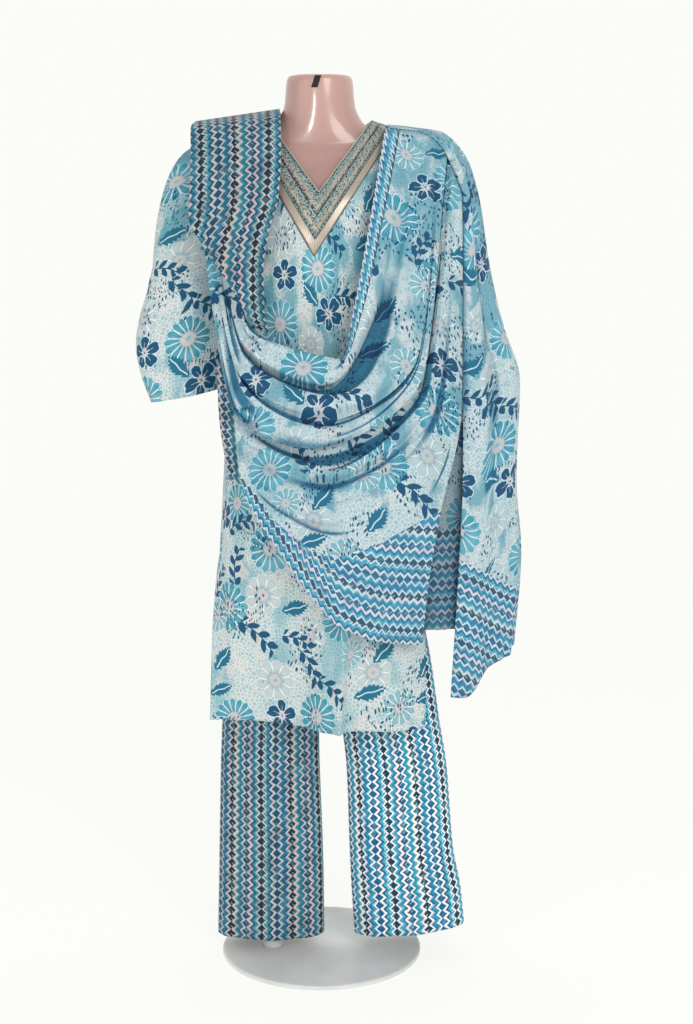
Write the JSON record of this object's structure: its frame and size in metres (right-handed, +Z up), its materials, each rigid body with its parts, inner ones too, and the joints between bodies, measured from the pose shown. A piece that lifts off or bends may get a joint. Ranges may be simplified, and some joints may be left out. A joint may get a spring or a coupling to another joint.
{
  "type": "kurta set on a dress form",
  "caption": "Knee-length V-neck kurta with elbow sleeves, straight trousers and a long scarf draped over one shoulder and arm, on a limbless torso form with a round foot.",
  "frame": {"origin": "middle of the underside of the stand's round foot plate, on the floor", "axes": "+Z up, -Y out of the garment's front, +X to the right as seen from the front"},
  "size_m": [0.6527, 0.3599, 1.511],
  "materials": {
    "form_shell": "gloss skin tone",
    "form_strap": "black strap end",
    "stand_paint": "pale satin paint",
    "stand_tube": "satin steel",
    "kurta_print": "soft flower print",
    "neck_trim": "satin ribbon with sequins",
    "trouser_print": "upright zigzag stripes",
    "scarf_print": "sheer flower print with zigzag borders"
  },
  "bodies": {
    "root": {"dress_form": "form_shell", "form_strap_end": "form_strap", "stand_base": "stand_paint", "stand_socket": "stand_paint", "stand_pole": "stand_tube", "kurta_front": "kurta_print", "kurta_back": "kurta_print", "kurta_sleeve_left": "kurta_print", "kurta_sleeve_right": "kurta_print", "kurta_neck_band_front": "neck_trim", "kurta_neck_band_back": "neck_trim", "trousers_leg_left": "trouser_print", "trousers_leg_right": "trouser_print", "trousers_waistband": "trouser_print", "dupatta_cowl": "scarf_print", "dupatta_apron": "scarf_print", "dupatta_left_shoulder": "scarf_print", "dupatta_back": "scarf_print", "dupatta_right_arm": "scarf_print", "dupatta_under": "scarf_print", "dupatta_side": "scarf_print"}
  },
  "joints": []
}
